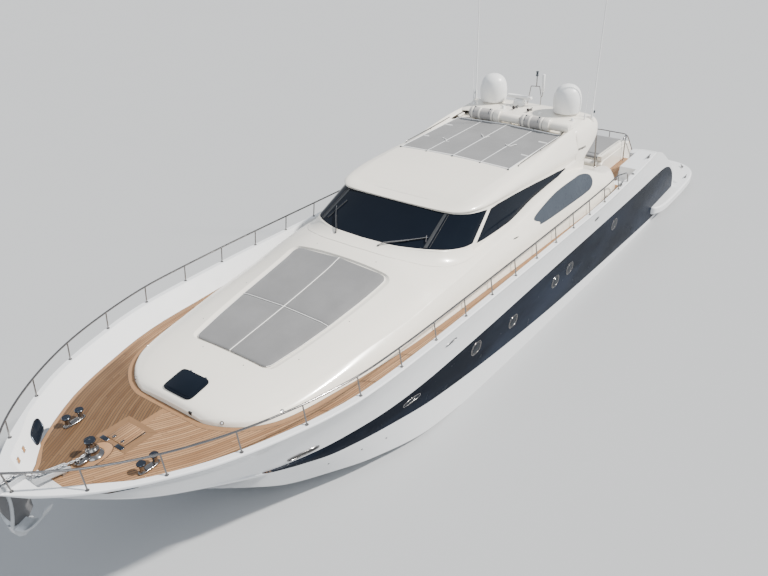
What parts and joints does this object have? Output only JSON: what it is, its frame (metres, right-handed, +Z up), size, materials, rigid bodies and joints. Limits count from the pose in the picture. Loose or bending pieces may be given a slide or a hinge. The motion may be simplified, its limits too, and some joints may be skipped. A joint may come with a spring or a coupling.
{
  "type": "motor yacht",
  "caption": "Open sport motor yacht with a raked bow, long coachroof, low deckhouse with a roof arch, stern garage and swim platform.",
  "frame": {"origin": "on the centreline at the static waterline, near amidships", "axes": "+X to the bow, +Y to port, +Z up"},
  "size_m": [28, 6.68, 14.1031],
  "materials": {
    "hull_white": "gloss gelcoat",
    "cream": "gloss gelcoat, warm white",
    "teak": "oiled planks",
    "glass": "dark tinted",
    "slate": "grey tinted",
    "pad": "woven",
    "steel": "polished",
    "bronze": "bare bronze",
    "white": "gloss",
    "engine": "painted",
    "leather": "matte",
    "antifoul": "matte"
  },
  "bodies": {
    "hull_body": {"hull": "hull_white", "swim_platform": "white", "garage_moulding": "cream", "teak_deck": "teak", "coachroof": "cream", "deckhouse": "cream", "windscreen": "glass", "side_window_port": "glass", "side_window_starboard": "glass", "lower_window_port": "slate", "lower_window_starboard": "slate", "foredeck_sunpad": "pad", "roof_pads": "pad", "aft_sunpad": "pad", "windlass_base": "steel", "bow_roller": "steel", "anchor": "steel", "bollard_port": "steel", "bollard_starboard": "steel", "dome_port": "white", "dome_starboard": "white", "whip_antenna_port": "white", "whip_antenna_starboard": "white", "short_antenna_port": "white", "short_antenna_starboard": "white", "radar_pedestal": "white", "handrail": "steel", "helm_console": "leather", "helm_seat": "leather", "saloon_sofa": "leather", "cockpit_sofa": "cream", "engine_port": "engine", "engine_starboard": "engine", "door_fixed_pane": "glass"},
    "propeller_port_body": {"propeller_port": "bronze"},
    "propeller_starboard_body": {"propeller_starboard": "bronze"},
    "rudder_port_body": {"rudder_port": "antifoul"},
    "rudder_starboard_body": {"rudder_starboard": "antifoul"},
    "radar_scanner_body": {"radar_scanner": "white"},
    "windlass_capstan_body": {"windlass_capstan": "steel"},
    "foredeck_hatch_body": {"foredeck_hatch": "glass"},
    "chain_locker_lid_body": {"chain_locker_lid": "teak"},
    "engine_hatch_body": {"engine_hatch": "teak"},
    "garage_door_body": {"garage_door": "white"},
    "saloon_door_body": {"saloon_door": "glass"}
  },
  "joints": [
    {"name": "propeller_port_spin", "type": "hinge", "parent": "hull_body", "child": "propeller_port_body", "pos_m": [-10.3, 1.05, -1.5], "axis": [0.9877, 0, 0.1564], "continuous": true},
    {"name": "propeller_starboard_spin", "type": "hinge", "parent": "hull_body", "child": "propeller_starboard_body", "pos_m": [-10.3, -1.05, -1.5], "axis": [0.9877, 0, 0.1564], "continuous": true},
    {"name": "rudder_port_steer", "type": "hinge", "parent": "hull_body", "child": "rudder_port_body", "pos_m": [-11.25, 1.05, -0.98], "axis": [0, 0, 1], "range_deg": [-35, 35]},
    {"name": "rudder_starboard_steer", "type": "hinge", "parent": "hull_body", "child": "rudder_starboard_body", "pos_m": [-11.25, -1.05, -0.98], "axis": [0, 0, 1], "range_deg": [-35, 35]},
    {"name": "radar_spin", "type": "hinge", "parent": "hull_body", "child": "radar_scanner_body", "pos_m": [-4.75, -0.33, 5.245], "axis": [0, 0, 1], "continuous": true},
    {"name": "capstan_spin", "type": "hinge", "parent": "hull_body", "child": "windlass_capstan_body", "pos_m": [11.86, 0, 3.11423], "axis": [0, 0, 1], "continuous": true},
    {"name": "foredeck_hatch_lift", "type": "hinge", "parent": "hull_body", "child": "foredeck_hatch_body", "pos_m": [9.36, 0, 3.2415], "axis": [0, -1, 0], "range_deg": [0, 75]},
    {"name": "chain_locker_lift", "type": "hinge", "parent": "hull_body", "child": "chain_locker_lid_body", "pos_m": [10.91, 0, 2.97936], "axis": [0, -1, 0], "range_deg": [0, 90]},
    {"name": "engine_hatch_lift", "type": "hinge", "parent": "hull_body", "child": "engine_hatch_body", "pos_m": [-6.734, 0, 1.938], "axis": [0, -1, 0], "range_deg": [0, 90]},
    {"name": "garage_door_lift", "type": "hinge", "parent": "hull_body", "child": "garage_door_body", "pos_m": [-10.69182, 0, 2.225], "axis": [0, 1, 0], "range_deg": [0, 80]},
    {"name": "saloon_door_slide", "type": "slide", "parent": "hull_body", "child": "saloon_door_body", "axis": [0, 1, 0], "range_m": [-1, 0]}
  ],
  "couplings": [
    {"joint": "rudder_starboard_steer", "follows": "rudder_port_steer", "ratio": 1}
  ]
}
